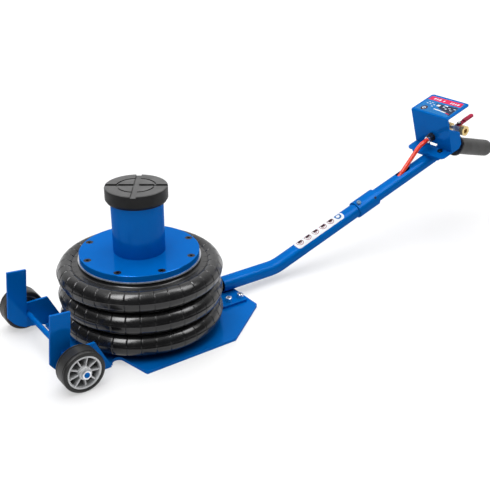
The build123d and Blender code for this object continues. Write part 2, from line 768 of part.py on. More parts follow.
def make_valve(name, side):
    """A ball valve with a lever on top: the inlet valve on the left, the exhaust valve on the right."""
    def at(y):
        return (valve_along, side * y, valve_height)

    stem_radius = 3.0
    stem_top = valve_height + 18.5
    bonnet_top = valve_height + 12.1
    nipple_radius = 5.5
    nipple_start = 12.0
    nut_flats = 19.0
    nut_start = 24.0
    nut_end = 29.0
    body_radius = 9.8
    lever_gap = 0.1
    body = rod(nipple_radius, at(nipple_start), at(nut_start))
    body += hexagon(nut_flats, at(nut_start), at(nut_end))
    body += rod(body_radius, at(nut_end), at(valve_end_y))
    bonnet_sides = (-5, 5)
    bonnet = block(bonnet_sides, bonnet_sides, (valve_height, bonnet_top))
    body += Pos(valve_along, side * valve_across, 0) * bonnet
    body += upright(stem_radius, valve_along, side * valve_across, valve_height, stem_top)
    body -= rod(ball_bore, at(nipple_start - 1), at(valve_end_y + 1))
    save(f"{name}_valve_body", handle_frame * body)

    blade = 2.5
    blade_grip = 4.5
    lever = block((-6, 18), (-5.5, 5.5), (0, blade)) + block((15, 46), (-5, 5), (0, blade_grip))
    lever = fillet(lever.edges().filter_by(Axis.Z).sort_by(Axis.X)[-2:], 4.5)
    lever -= upright(stem_radius + running_clearance, 0, 0, -1, blade_grip + 1)
    lever_low = bonnet_top + lever_gap
    save(f"{name}_valve_lever", handle_frame * Pos(valve_along, side * valve_across, lever_low) * lever)

    nut_low = lever_low + blade + lever_gap
    nut = hexagon(9, (0, 0, 0), (0, 0, 3.2)) - upright(stem_radius, 0, 0, -1, 5)
    save(f"{name}_lever_nut", handle_frame * Pos(valve_along, side * valve_across, nut_low) * nut)


def make_valve_ends():
    """The threaded air inlet on the left valve, and the exhaust silencer on the right one."""
    def at(y):
        return (valve_along, y, valve_height)

    corner_radius = inlet_flats / 2 + 0.7
    port = hexagon(inlet_flats, at(-valve_end_y), at(-inlet_end_y))
    port &= rod(corner_radius, at(-valve_end_y), at(-inlet_end_y))
    port -= rod(ball_bore, at(-valve_end_y + 1), at(-valve_end_y - 2))
    port -= rod(inlet_bore, at(-valve_end_y - 1), at(-inlet_end_y - 1))
    save("inlet_port", handle_frame * port)

    nut_end = valve_end_y + 5
    silencer_end = valve_end_y + 18
    silencer = hexagon(17, at(valve_end_y), at(nut_end)) + rod(7, at(nut_end), at(silencer_end))
    silencer = fillet(silencer.edges().filter_by(GeomType.CIRCLE).sort_by(Axis.Y)[-1], 3)
    save("exhaust_silencer", handle_frame * silencer)


make_base()
make_front_end()
make_wheel("left", -1)
make_wheel("right", 1)
make_bag()
make_bag_clamps()
make_guide()
make_air_channel()
make_lift_head()
make_saddle()
make_handle_foot()
make_handle_tubes()
make_hose()
make_grip()
make_handle_label()
make_head_bracket()
make_head_inlet()
make_valve("inlet", -1)
make_valve("exhaust", 1)
make_valve_ends()
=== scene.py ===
"""The finished look of the air-bag floor jack, built around its CAD frame.

Everything is in metres in the frame's own axes: +X towards the handle, +Z up, the origin on the ground
under the bag. Most sizes that belong to the CAD parts are read from their boxes."""
import json
import math

import bmesh
import bpy
from mathutils import Matrix, Vector


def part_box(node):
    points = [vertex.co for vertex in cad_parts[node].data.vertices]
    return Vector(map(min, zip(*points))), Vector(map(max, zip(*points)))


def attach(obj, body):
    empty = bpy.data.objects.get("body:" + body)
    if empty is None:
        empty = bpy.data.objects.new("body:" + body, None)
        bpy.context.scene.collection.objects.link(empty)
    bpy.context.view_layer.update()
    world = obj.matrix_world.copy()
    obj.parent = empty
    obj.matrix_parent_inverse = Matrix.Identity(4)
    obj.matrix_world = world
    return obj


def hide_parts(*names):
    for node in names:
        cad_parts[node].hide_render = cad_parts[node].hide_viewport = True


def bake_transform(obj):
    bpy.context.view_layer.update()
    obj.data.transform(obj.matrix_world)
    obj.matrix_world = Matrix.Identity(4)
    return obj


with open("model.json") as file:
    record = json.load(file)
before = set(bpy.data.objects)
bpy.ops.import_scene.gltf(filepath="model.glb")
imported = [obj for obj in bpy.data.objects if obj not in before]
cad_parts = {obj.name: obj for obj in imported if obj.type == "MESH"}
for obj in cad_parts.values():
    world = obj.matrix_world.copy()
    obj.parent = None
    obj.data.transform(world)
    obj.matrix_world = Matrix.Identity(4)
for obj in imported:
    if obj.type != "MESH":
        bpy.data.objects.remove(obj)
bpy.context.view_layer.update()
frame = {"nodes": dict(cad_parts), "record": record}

NODES = frame["nodes"]
MM = 0.001

# ---------------------------------------------------------------- sizes from the frame
SLOT_OF = {row["node"]: row["material_slot"] for row in frame["record"]["subparts"]}

GIRDLE_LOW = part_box("lower_girdle_ring")[0]
FLANGE_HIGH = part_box("bag_base_flange")[1]

BAG_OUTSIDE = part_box("bag_middle_convolution")[1].x
BULGE_RADIUS = 17 * MM
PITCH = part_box("upper_girdle_ring")[0].z - GIRDLE_LOW.z
FLANGE_TOP = FLANGE_HIGH.z
NECK_RADIUS = FLANGE_HIGH.x
GIRDLE_BOXES = (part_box("lower_girdle_ring"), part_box("upper_girdle_ring"))
VALLEY_Z = [(low.z + high.z) / 2 for low, high in GIRDLE_BOXES]
BULGE_Z = [VALLEY_Z[0] - PITCH / 2, VALLEY_Z[0] + PITCH / 2, VALLEY_Z[1] + PITCH / 2]
BEAD_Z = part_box("upper_bead_flange")[0].z

# the handle's own frame: u along the rising tube, y across it, v square to it
HANDLE_RISE = math.radians(18.5)
HANDLE_START_X = 0.321
LOWER_TUBE_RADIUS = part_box("handle_lower_tube")[1].y
HANDLE_ORIGIN = Vector((HANDLE_START_X, 0.0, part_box("handle_foot_plate")[1].z + LOWER_TUBE_RADIUS))
ALONG = Vector((math.cos(HANDLE_RISE), 0, math.sin(HANDLE_RISE)))
SQUARE = Vector((-math.sin(HANDLE_RISE), 0, math.cos(HANDLE_RISE)))

# the rubber grip is on the tube's last stretch, which turns down past level
# its start and end are measured from the bend
GRIP_BEND = 548 * MM
GRIP_DROP = math.radians(32.4)
GRIP_START = 22 * MM
GRIP_END = 154 * MM
GRIP_RADIUS = 20.2 * MM
COLLAR_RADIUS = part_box("grip")[1].y
COLLAR_LENGTH = 6 * MM

# printed films: the panel's flat one and the one wrapped on the lower tube
PANEL_FILM_TOP = 110.4 * MM
TUBE_FILM_RADIUS = LOWER_TUBE_RADIUS + 0.3 * MM


def on_handle(u, y, v):
    """A point given along, across and square to the handle."""
    return HANDLE_ORIGIN + ALONG * u + Vector((0, y, 0)) + SQUARE * v


# ---------------------------------------------------------------- shader building
class Shader:
    """A material's node tree with short ways to add what the finishes below need."""

    def __init__(self, name, **numbers):
        self.material = bpy.data.materials.new(name)
        self.material.use_nodes = True
        self.tree = self.material.node_tree
        self.surface = self.tree.nodes["Principled BSDF"]
        for socket, value in numbers.items():
            self.surface.inputs[socket.replace("_", " ")].default_value = value
        self.place = self.tree.nodes.new("ShaderNodeTexCoord").outputs["Object"]

    def node(self, kind, **settings):
        """A node with some of its own settings filled in."""
        made = self.tree.nodes.new("ShaderNode" + kind)
        for name, value in settings.items():
            setattr(made, name, value)
        return made

    def link(self, source, target):
        """Joins an output to an input."""
        self.tree.links.new(source, target)

    def stretched(self, scale):
        """Object coordinates scaled by a different amount on each axis."""
        mapping = self.node("Mapping")
        mapping.inputs["Scale"].default_value = scale
        self.link(self.place, mapping.inputs["Vector"])
        return mapping.outputs["Vector"]

    def noise(self, scale, detail=3.0, roughness=0.5, vector=None):
        """A noise pattern's value."""
        made = self.node("TexNoise")
        made.inputs["Scale"].default_value = scale
        made.inputs["Detail"].default_value = detail
        made.inputs["Roughness"].default_value = roughness
        self.link(vector or self.place, made.inputs["Vector"])
        return made.outputs["Fac"]

    def spread(self, value, low, high, start=0.3, end=0.7):
        """A pattern's middle stretched to run from low to high."""
        made = self.node("MapRange")
        for name, number in (("From Min", start), ("From Max", end), ("To Min", low), ("To Max", high)):
            made.inputs[name].default_value = number
        self.link(value, made.inputs["Value"])
        return made.outputs["Result"]

    def mix(self, share, first, second):
        """Two colours mixed by a pattern. Each is a colour or another node's output."""
        made = self.node("Mix", data_type="RGBA")
        self.link(share, made.inputs["Factor"])
        # a Mix node has several sockets of each name, and these are the ones for colours
        for socket, colour in ((made.inputs[6], first), (made.inputs[7], second)):
            if isinstance(colour, bpy.types.NodeSocket):
                self.link(colour, socket)
            else:
                socket.default_value = (*colour, 1)
        return made.outputs[2]

    def edges(self, radius):
        """1 along sharp edges and 0 on flat stretches."""
        bevel = self.node("Bevel", samples=4)
        bevel.inputs["Radius"].default_value = radius
        geometry = self.node("NewGeometry")
        dot = self.node("VectorMath", operation="DOT_PRODUCT")
        self.link(bevel.outputs["Normal"], dot.inputs[0])
        self.link(geometry.outputs["Normal"], dot.inputs[1])
        rounded, flat = 0.80, 0.97
        return self.spread(dot.outputs["Value"], 1, 0, rounded, flat)

    def times(self, first, second):
        """The product of two patterns."""
        made = self.node("Math", operation="MULTIPLY")
        self.link(first, made.inputs[0])
        self.link(second, made.inputs[1])
        return made.outputs["Value"]

    def colour(self, value):
        """Sets the base colour from a pattern."""
        self.link(value, self.surface.inputs["Base Color"])

    def rough(self, value):
        """Sets the roughness from a pattern."""
        self.link(value, self.surface.inputs["Roughness"])

    def bump(self, value, distance, strength):
        """Raises the surface by a pattern."""
        made = self.node("Bump")
        made.inputs["Distance"].default_value = distance
        made.inputs["Strength"].default_value = strength
        self.link(value, made.inputs["Height"])
        self.link(made.outputs["Normal"], self.surface.inputs["Normal"])


def scaled(colour, factor):
    """A colour made darker or lighter."""
    return tuple(min(1.0, c * factor) for c in colour)


# ---------------------------------------------------------------- finishes
def paint(name, colour, low, high):
    """Sprayed gloss enamel: orange peel, faint cloudiness, and the edges painted a little lighter as a
    painted highlight, broken into specks.
    """
    s = Shader(name, Metallic=0.22, Specular_IOR_Level=0.0, Coat_Weight=0.09, Coat_Roughness=0.04)
    s.surface.inputs["Specular Tint"].default_value = (0.0, 0.55, 1.0, 1)
    cloudy = s.mix(s.spread(s.noise(14), 0, 1), scaled(colour, 0.94), scaled(colour, 1.06))
    speckled = s.spread(s.noise(420, 4), 0, 1, 0.42, 0.62)
    # painted highlight: the edges are painted lighter, in specks
    painted_edge_highlight = s.times(s.edges(0.7 * MM), speckled)
    edge_highlight_colour = scaled(tuple(c + 0.03 for c in colour), 1.3)
    s.colour(s.mix(painted_edge_highlight, cloudy, edge_highlight_colour))
    s.rough(s.spread(s.noise(38), low, high))
    s.bump(s.noise(520, 2), 0.03 * MM, 0.3)
    return s.material


def moulded_rubber(name, colour, low, high, grain, depth, shine, dust_and_sheen):
    """Moulded rubber: fine grain, a bloom in patches, uneven gloss, and faces that look up painted lighter,
    partly grey dust and partly a painted sheen.
    """
    s = Shader(name, IOR=1.5, Specular_IOR_Level=shine)
    bloom = s.spread(s.noise(26, 6, 0.6), 0, 1, 0.38, 0.72)
    bare = s.mix(bloom, colour, scaled(tuple(c + 0.003 for c in colour), 1.4))
    facing = s.node("SeparateXYZ")
    s.link(s.node("NewGeometry").outputs["Normal"], facing.inputs[0])
    # faces that look up are painted lighter in patches: partly dust, partly a painted sheen
    upward = s.spread(facing.outputs["Z"], 0, 1, 0.35, 0.95)
    dust_and_sheen_mask = s.times(upward, s.spread(s.noise(45, 6, 0.65), 0.6, 1))
    s.colour(s.mix(dust_and_sheen_mask, bare, tuple(c + dust_and_sheen for c in colour)))
    s.rough(s.spread(s.noise(60, 5), low, high))
    s.bump(s.noise(grain, 4, 0.6), depth * MM, 0.5)
    return s.material


def metal(name, colour, low, high, brushed=(1, 1, 1), bare=1.0):
    """Bare or plated metal with a direction to its grain and duller patches. bare is below 1 where it is
    frosted."""
    s = Shader(name, Metallic=bare)
    tarnish = s.spread(s.noise(60, 5), 0, 1, 0.35, 0.7)
    s.colour(s.mix(tarnish, colour, scaled(colour, 0.78)))
    streaks = s.noise(500, 3, 0.6, s.stretched(brushed))
    s.rough(s.spread(streaks, low, high))
    s.bump(streaks, 0.03 * MM, 0.5)
    return s.material


def plastic(name, colour, low, high, grain=700, depth=0.05, clear=0.0, shine=0.5):
    """Moulded plastic with a fine texture and faint flow marks."""
    s = Shader(name, IOR=1.46, Specular_IOR_Level=shine, Coat_Weight=clear, Coat_Roughness=0.05)
    flow = s.spread(s.noise(22, 3, 0.5, s.stretched((1, 1, 3))), 0, 1)
    s.colour(s.mix(flow, scaled(colour, 0.94), scaled(colour, 1.06)))
    s.rough(s.spread(s.noise(90, 4), low, high))
    s.bump(s.noise(grain, 3), depth * MM, 0.4)
    return s.material


def hub_plastic(name, colour, web, face):
    """Grey moulded wheel centre, painted darker deep between its spokes as painted shade, in patches. web
    and face are distances from the jack's middle, where the painted shade is darkest and where it ends."""
    s = Shader(name, IOR=1.46)
    across = s.node("SeparateXYZ")
    s.link(s.place, across.inputs[0])
    distance = s.node("Math", operation="ABSOLUTE")
    s.link(across.outputs["Y"], distance.inputs[0])
    # painted shade: the colour darkens towards the web between the spokes, broken into patches
    depth = s.spread(distance.outputs["Value"], 1, 0, web, face)
    patches = s.spread(s.noise(70, 5, 0.6), 0.75, 1)
    flow = s.spread(s.noise(22, 3, 0.5, s.stretched((1, 1, 3))), 0, 1)
    clean = s.mix(flow, scaled(colour, 0.94), scaled(colour, 1.06))
    s.colour(s.mix(s.times(depth, patches), clean, scaled(colour, 0.12)))
    s.rough(s.spread(s.noise(90, 4), 0.34, 0.48))
    s.bump(s.noise(700, 3), 0.05 * MM, 0.4)
    return s.material


def hose_plastic(name, colour):
    """Orange polyurethane: glossy, with a little light passing through."""
    s = Shader(name, IOR=1.5, Coat_Weight=0.2, Coat_Roughness=0.08)
    s.surface.inputs["Subsurface Weight"].default_value = 0.15
    s.surface.inputs["Subsurface Scale"].default_value = 4 * MM
    s.surface.inputs["Subsurface Radius"].default_value = (1.0, 0.35, 0.12)
    s.colour(s.mix(s.spread(s.noise(40, 4), 0, 1), scaled(colour, 0.9), scaled(colour, 1.1)))
    s.rough(s.spread(s.noise(120, 3), 0.2, 0.32))
    s.bump(s.noise(500, 2), 0.03 * MM, 0.3)
    return s.material


BLUE = (0.0004, 0.106, 0.40)
# how far a wheel's inner side, the web between its spokes and its outer face are from the jack's middle
TYRE_INSIDE = -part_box("left_wheel_tyre")[1].y
HUB_WEB = TYRE_INSIDE + 14 * MM
HUB_FACE = TYRE_INSIDE + 30 * MM
FINISH = {
    "blue_paint": paint("blue_paint", BLUE, 0.10, 0.20),
    # the tubes' paint is the same blue made 8% darker as painted shade, and rougher
    "tube_paint_with_painted_shade": paint("tube_paint_with_painted_shade", scaled(BLUE, 0.92), 0.42, 0.52),
    "bag_rubber": moulded_rubber(
        "bag_rubber", (0.004, 0.004, 0.0045), 0.16, 0.25, grain=1100, depth=0.012, shine=0.5, dust_and_sheen=0.016
    ),
    "saddle_rubber": moulded_rubber(
        "saddle_rubber", (0.005, 0.005, 0.005), 0.42, 0.56, grain=800, depth=0.08, shine=0.2, dust_and_sheen=0.085
    ),
    "tyre_rubber": moulded_rubber(
        "tyre_rubber", (0.009, 0.009, 0.009), 0.36, 0.48, grain=1000, depth=0.05, shine=0.35, dust_and_sheen=0.01
    ),
    "hub_plastic": hub_plastic("hub_plastic", (0.56, 0.57, 0.58), HUB_WEB, HUB_FACE),
    "zinc_steel": metal("zinc_steel", (0.80, 0.81, 0.83), 0.16, 0.30),
    "black_steel": metal("black_steel", (0.035, 0.035, 0.038), 0.32, 0.46),
    "bright_ring": metal("bright_ring", (0.66, 0.67, 0.68), 0.24, 0.36, bare=0.75),
    "dull_zinc": metal("dull_zinc", (0.20, 0.27, 0.36), 0.30, 0.42),
    "plain_steel": metal("plain_steel", (0.46, 0.46, 0.47), 0.26, 0.44, brushed=(1, 1, 8)),
    "nickel": metal("nickel", (0.80, 0.79, 0.72), 0.28, 0.42, bare=0.55),
    "brass": metal("brass", (0.80, 0.60, 0.26), 0.20, 0.34, bare=0.7),
    "red_lever": plastic("red_lever", (0.30, 0.0008, 0.032), 0.36, 0.50, grain=420, depth=0.04, shine=0.2),
    "black_plastic": plastic("black_plastic", (0.010, 0.010, 0.011), 0.22, 0.36),
    "hose_plastic": hose_plastic("hose_plastic", (0.66, 0.028, 0.004)),
    "grip_rubber": moulded_rubber(
        "grip_rubber", (0.046, 0.046, 0.045), 0.50, 0.66, grain=1400, depth=0.10, shine=0.4, dust_and_sheen=0.01
    ),
    "panel_film": plastic(
        "panel_film", (0.001, 0.115, 0.33), 0.20, 0.30, grain=300, depth=0.02, clear=0.02, shine=0.15
    ),
}
INK_COLOURS = {
    "white": (0.60, 0.61, 0.63),
    "red": (0.52, 0.004, 0.060),
    "dark": (0.010, 0.016, 0.045),
    "pale": (0.52, 0.60, 0.70),
    "pink": (0.20, 0.045, 0.055),
    "maroon": (0.030, 0.006, 0.012),
    "blue": (0.003, 0.10, 0.30),
}
INK = {
    name: plastic(f"{name}_ink", colour, 0.20, 0.30, grain=300, depth=0.01, shine=0.2)
    for name, colour in INK_COLOURS.items()
}


# ---------------------------------------------------------------- mesh helpers
def make_object(name, bm, material, smooth_angle=35):
    """Turns a bmesh into an object with one finish and smooth faces between sharp edges."""
    bmesh.ops.remove_doubles(bm, verts=bm.verts, dist=1e-6)
    bmesh.ops.recalc_face_normals(bm, faces=bm.faces)
    mesh = bpy.data.meshes.new(name)
    bm.to_mesh(mesh)
    bm.free()
    piece = bpy.data.objects.new(name, mesh)
    bpy.context.scene.collection.objects.link(piece)
    piece.data.materials.append(material)
    shade(piece, smooth_angle)
    return piece


def shade(piece, angle):
    """Smooth shading that keeps edges sharper than an angle in degrees."""
    mesh = piece.data
    mesh.shade_smooth()
    mesh.set_sharp_from_angle(angle=math.radians(angle))


def arc(centre_r, centre_h, radius, start, end, steps):
    """Points of a circular arc in a radius-height section; angles in degrees from the +radius direction."""
    angles = [math.radians(start + (end - start) * k / steps) for k in range(steps + 1)]
    return [(centre_r + radius * math.cos(a), centre_h + radius * math.sin(a)) for a in angles]


def lathe(bm, section, turns, place=Matrix.Identity(4), shift=None):
    """Revolves a closed section of (radius, height) points about place's Z axis, by the angles in turns.
    shift(angle, r, h) may move a point."""
    rings = []
    for angle in turns:
        ring = []
        for r, h in section:
            if shift:
                r, h = shift(angle, r, h)
            ring.append(bm.verts.new(place @ Vector((r * math.cos(angle), r * math.sin(angle), h))))
        rings.append(ring)
    count = len(section)
    for k, ring in enumerate(rings):
        following = rings[(k + 1) % len(rings)]
        for i in range(count):
            j = (i + 1) % count
            bm.faces.new((ring[i], following[i], following[j], ring[j]))


def even_turns(count):
    """Equal steps around a circle."""
    return [2 * math.pi * k / count for k in range(count)]


def axis_place(point, direction):
    """A matrix whose origin is at a point and whose Z axis runs along a direction."""
    turn = Vector(direction).to_track_quat("Z", "Y").to_matrix().to_4x4()
    return Matrix.Translation(point) @ turn


# ---------------------------------------------------------------- air bag
RIB_COUNT = 36
# where the section is repeated around one sector between mould lines, as shares of the sector
RIB_STEPS = (-0.4, -0.3, -0.2, -0.11, -0.07, -0.045, -0.022, 0.0, 0.022, 0.045, 0.07, 0.11, 0.2, 0.3)
# each mould line's groove, and the low swelling on both sides of it
# places and widths are shares of a sector
GROOVE_DEPTH = 0.95 * MM
GROOVE_WIDTH = 0.028
SWELL_HEIGHT = 0.04 * MM
SWELL_PLACE = 0.07
SWELL_WIDTH = 0.025
# the neck inside this radius is smooth
MOULD_LINE_START = NECK_RADIUS + 4 * MM

FLANK_STEPS = 18
WALL = 4 * MM
RIDGE_HEIGHT = 0.85 * MM
RIDGE_HALF_WIDTH = 0.55 * MM
BULGE_MIDDLE = BAG_OUTSIDE - BULGE_RADIUS - RIDGE_HEIGHT
# above its ridge a bulge leans in from the start, as part of a taller ellipse
RIDGE_ANGLE = math.radians(18)
UPPER_HEIGHT = 18.3 * MM
# below its ridge a bulge is fuller than a circle
LOWER_FULLNESS = 2.6
LOWER_HEIGHT = 19.5 * MM
# how far round a bulge its flank goes, in degrees, before it turns into a valley or a clamped neck
FLANK_REACH = {"valley": 112, "bottom": 128, "top": 128}

# a valley's short straight lip, where two bulges meet, and the curve out of it
VALLEY_RADIUS = NECK_RADIUS + 0.4 * MM
VALLEY_HALF_GAP = 0.2 * MM
LIP_DEPTH = 2.4 * MM
LIP_RADIUS = 3.2 * MM

# a clamped neck: its flat rim, its bevel, and its curve as (outwards, height over the bulge's centre)
RIM_WIDTH = 22 * MM
RIM_BEVEL = 0.8 * MM
NECK_CURVE = ((0.0, 15.6), (0.9, 13.8), (2.6, 12.9), (5.2, 12.6))
RIM_HEIGHT = {"bottom": BULGE_Z[0] - FLANGE_TOP, "top": BEAD_Z - BULGE_Z[2]}


def bag_edge(kind, wall):
    """Points from the end of the section up to the start of the bulge, as (radius, height over its centre).
    wall is how far they are inside the outer surface."""
    r = BULGE_RADIUS - wall
    if kind == "valley":
        half = PITCH / 2 - VALLEY_HALF_GAP
        lip = [(VALLEY_RADIUS - wall, half), (VALLEY_RADIUS - wall, half - LIP_DEPTH)]
        if wall:
            return lip + [(BULGE_MIDDLE - 9 * MM, r * 0.93)]
        return lip + arc(VALLEY_RADIUS + LIP_RADIUS - wall, half - LIP_DEPTH, LIP_RADIUS, 180, 262, 5)[1:]
    top = RIM_HEIGHT[kind] - wall
    neck = NECK_RADIUS - wall
    points = [(neck - RIM_WIDTH, top), (neck - RIM_BEVEL, top), (neck, top - RIM_BEVEL)]
    points += [(neck + outwards * MM, height * MM) for outwards, height in NECK_CURVE]
    return points + [(BULGE_MIDDLE - 11.8 * MM, r * 0.72 if wall else 12.8 * MM)]


def bag_flank(centre, start, end, wall=0):
    """Points along a bulge, between two angles on the same side of its ridge."""
    radius = BULGE_RADIUS - wall
    points = []
    for k in range(FLANK_STEPS + 1):
        angle = math.radians(start + (end - start) * k / FLANK_STEPS)
        c, s = math.cos(angle), math.sin(angle)
        if s > 0:
            tall = (UPPER_HEIGHT - wall) / (1 - math.sin(RIDGE_ANGLE))
            wide = radius / math.cos(RIDGE_ANGLE)
            points.append((BULGE_MIDDLE + wide * c, centre + tall * (s - math.sin(RIDGE_ANGLE))))
        else:
            across = math.copysign(abs(c) ** (2 / LOWER_FULLNESS), c) * radius
            down = abs(s) ** (2 / LOWER_FULLNESS) * (LOWER_HEIGHT - wall)
            points.append((BULGE_MIDDLE + across, centre - down))
    return points


def bag_section(centre, lower, upper):
    """Closed section of one bulge. lower and upper say what its edges are: a valley or one of the necks."""
    start, end = -FLANK_REACH[lower], FLANK_REACH[upper]
    ridge = math.degrees(RIDGE_ANGLE)
    below_ridge, above_ridge = -7, ridge + 3
    foot = BULGE_MIDDLE + BULGE_RADIUS * 0.998
    foot_half_width = RIDGE_HALF_WIDTH * 1.5
    crest = BULGE_MIDDLE + BULGE_RADIUS + RIDGE_HEIGHT
    outer = [(r, centre - h) for r, h in bag_edge(lower, 0)]
    outer += bag_flank(centre, start, below_ridge)
    outer += [(foot, centre - foot_half_width), (crest, centre - RIDGE_HALF_WIDTH)]
    outer += [(crest, centre + RIDGE_HALF_WIDTH), (foot, centre + foot_half_width)]
    outer += bag_flank(centre, above_ridge, end)
    outer += [(r, centre + h) for r, h in reversed(bag_edge(upper, 0))]
    inner = [(r, centre + h) for r, h in bag_edge(upper, WALL)]
    inner += bag_flank(centre, end, ridge, WALL) + bag_flank(centre, -1, start, WALL)
    inner += [(r, centre - h) for r, h in reversed(bag_edge(lower, WALL))]
    return outer + inner


def bag_shift(centre):
    """Mould lines on the outside: a thin groove every ten degrees, with a slight swelling on both sides."""
    sector = 2 * math.pi / RIB_COUNT

    def shift(angle, r, h):
        if r < MOULD_LINE_START:
            return r, h
        offset = (angle / sector + 0.5) % 1 - 0.5
        sink = GROOVE_DEPTH * math.exp(-((offset / GROOVE_WIDTH) ** 2))
        swell = SWELL_HEIGHT * math.exp(-(((abs(offset) - SWELL_PLACE) / SWELL_WIDTH) ** 2))
        away = Vector((r - BULGE_MIDDLE, h - centre))
        if away.length < BULGE_RADIUS - WALL / 2:
            return r, h
        moved = away.normalized() * (away.length - sink + swell)
        return BULGE_MIDDLE + moved.x, centre + moved.y

    return shift


def make_bag():
    """Three bulges of one rubber bag, one above another."""
    turns = [2 * math.pi * (k + step) / RIB_COUNT for k in range(RIB_COUNT) for step in RIB_STEPS]
    rows = (
        ("lower", ("bottom", "valley"), "base", "lower_girdle"),
        ("middle", ("valley", "valley"), "lower_girdle", "upper_girdle"),
        ("upper", ("valley", "top"), "upper_girdle", "lift_head"),
    )
    for centre, (name, ends, below, above) in zip(BULGE_Z, rows):
        bm = bmesh.new()
        lathe(bm, bag_section(centre, *ends), turns, shift=bag_shift(centre))
        piece = make_object(f"bag_{name}_bulge", bm, FINISH["bag_rubber"], smooth_angle=42)
        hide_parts(f"bag_{name}_convolution")
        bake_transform(piece)


# ---------------------------------------------------------------- wheels
RIM_CLEARANCE = 0.02 * MM
# sizes of the tyre's section; a tread groove's half widths are at its top and its floor
SHOULDER = 3.2 * MM
SHOULDER_CENTRE = 3.4 * MM
SIDE_STEP = 0.2 * MM
SIDE_STEP_RADIUS = 4.2 * MM
TREAD_GROOVE_PLACE = 6.4 * MM
TREAD_GROOVE_DEPTH = 0.9 * MM
TREAD_GROOVE_HALF = (0.9 * MM, 0.5 * MM)


def tyre_section(rim, outside, half):
    """Closed section of a tyre as (radius, height from the middle of its width)."""
    profile = [(rim, -half + 1.4 * MM), (rim + 1.2 * MM, -half + 0.3 * MM)]
    profile += [(outside - SIDE_STEP_RADIUS, -half), (outside - SHOULDER, -half + SIDE_STEP)]
    profile += arc(outside - SHOULDER, -half + SHOULDER_CENTRE, SHOULDER, -90, 0, 6)[1:]
    wide, narrow = TREAD_GROOVE_HALF
    floor = outside - TREAD_GROOVE_DEPTH
    for place in (-half + TREAD_GROOVE_PLACE, half - TREAD_GROOVE_PLACE):
        profile += [(outside, place - wide), (floor, place - narrow)]
        profile += [(floor, place + narrow), (outside, place + wide)]
    profile += arc(outside - SHOULDER, half - SHOULDER_CENTRE, SHOULDER, 0, 90, 6)
    profile += [(outside - SIDE_STEP_RADIUS, half)]
    return profile + [(rim + 1.2 * MM, half - 0.3 * MM), (rim, half - 1.4 * MM)]


def make_tyres():
    """Solid rubber tyres: shoulders, a groove near each edge of the tread, and a step on the sidewall."""
    for side in ("left", "right"):
        low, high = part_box(f"{side}_wheel_tyre")
        centre = (low + high) / 2
        width = high.y - low.y
        outside = (high.z - low.z) / 2
        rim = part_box(f"{side}_wheel_hub")[1].z - centre.z + RIM_CLEARANCE
        bm = bmesh.new()
        lathe(bm, tyre_section(rim, outside, width / 2), even_turns(144), axis_place(centre, (0, 1, 0)))
        piece = make_object(f"{side}_tyre", bm, FINISH["tyre_rubber"], smooth_angle=40)
        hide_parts(f"{side}_wheel_tyre")
        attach(piece, f"{side}_wheel")


# ---------------------------------------------------------------- grip
def grip_section(bore, length, body):
    """Closed section of the grip as (radius, distance from the collar's inner end). body is the radius
    between rings."""
    dome = 14.5 * MM
    ring_pitch = 3.4 * MM
    ring_rise = 0.1 * MM
    belly = 0.2 * MM
    first_ring = COLLAR_LENGTH + 3 * MM
    rings = int((length - dome - first_ring) / ring_pitch)
    profile = [(bore, COLLAR_LENGTH), (body - 1.6 * MM, COLLAR_LENGTH)]
    profile.append((body - 0.9 * MM, COLLAR_LENGTH + 0.6 * MM))
    for k in range(rings):
        start = first_ring + ring_pitch * k
        r = body + belly * math.sin(math.pi * k / (rings - 1))
        crest = r + ring_rise
        profile += [(r, start), (crest, start + 0.7 * MM), (crest, start + 2.4 * MM), (r, start + 3.0 * MM)]
    profile += arc(body - dome, length - dome, dome, 0, 88, 12)
    # the tip closes over the end of the tube
    tip_hole = 3 * MM
    tip_wall = 4 * MM
    tip = length - 0.05 * MM
    return profile + [(tip_hole, tip), (tip_hole, length - tip_wall), (bore, length - tip_wall)]


def make_grip():
    """Rubber hand grip with fine rings, a slight belly and a domed tip, and the collar at its inner end."""
    drop = HANDLE_RISE - GRIP_DROP
    direction = Vector((math.cos(drop), 0, math.sin(drop)))
    place = axis_place(on_handle(GRIP_BEND, 0, 0) + direction * GRIP_START, direction)
    bore = 15.05 * MM
    profile = grip_section(bore, GRIP_END - GRIP_START, GRIP_RADIUS - 0.3 * MM)
    bm = bmesh.new()
    lathe(bm, profile, even_turns(96), place)
    piece = make_object("hand_grip", bm, FINISH["grip_rubber"], smooth_angle=32)
    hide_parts("grip")
    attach(piece, "base")

    bevel = 1.2 * MM
    start = 0.2 * MM
    shoulder = COLLAR_RADIUS - bevel
    outline = [(bore, start), (shoulder, start), (COLLAR_RADIUS, bevel)]
    outline += [(COLLAR_RADIUS, COLLAR_LENGTH - bevel), (shoulder, COLLAR_LENGTH), (bore, COLLAR_LENGTH)]
    bm = bmesh.new()
    lathe(bm, outline, even_turns(96), place)
    collar = make_object("grip_collar", bm, FINISH["black_plastic"], smooth_angle=32)
    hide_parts("grip")
    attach(collar, "base")


# ---------------------------------------------------------------- printed labels
INK_DEPTH = 0.05 * MM
PATCH_STEPS = 4
RING_STEPS = 30
RING_BAND_MM = 1.5


def on_panel(u, y, height):
    """A point on the control panel's film."""
    return on_handle(u * MM, y * MM, PANEL_FILM_TOP + height)


def on_tube_film(u, around, height):
    """A point on the lower tube's film. around is measured along the surface, from the top to the left."""
    radius = TUBE_FILM_RADIUS + height
    angle = around * MM / TUBE_FILM_RADIUS
    return on_handle(u * MM, -radius * math.sin(angle), radius * math.cos(angle))


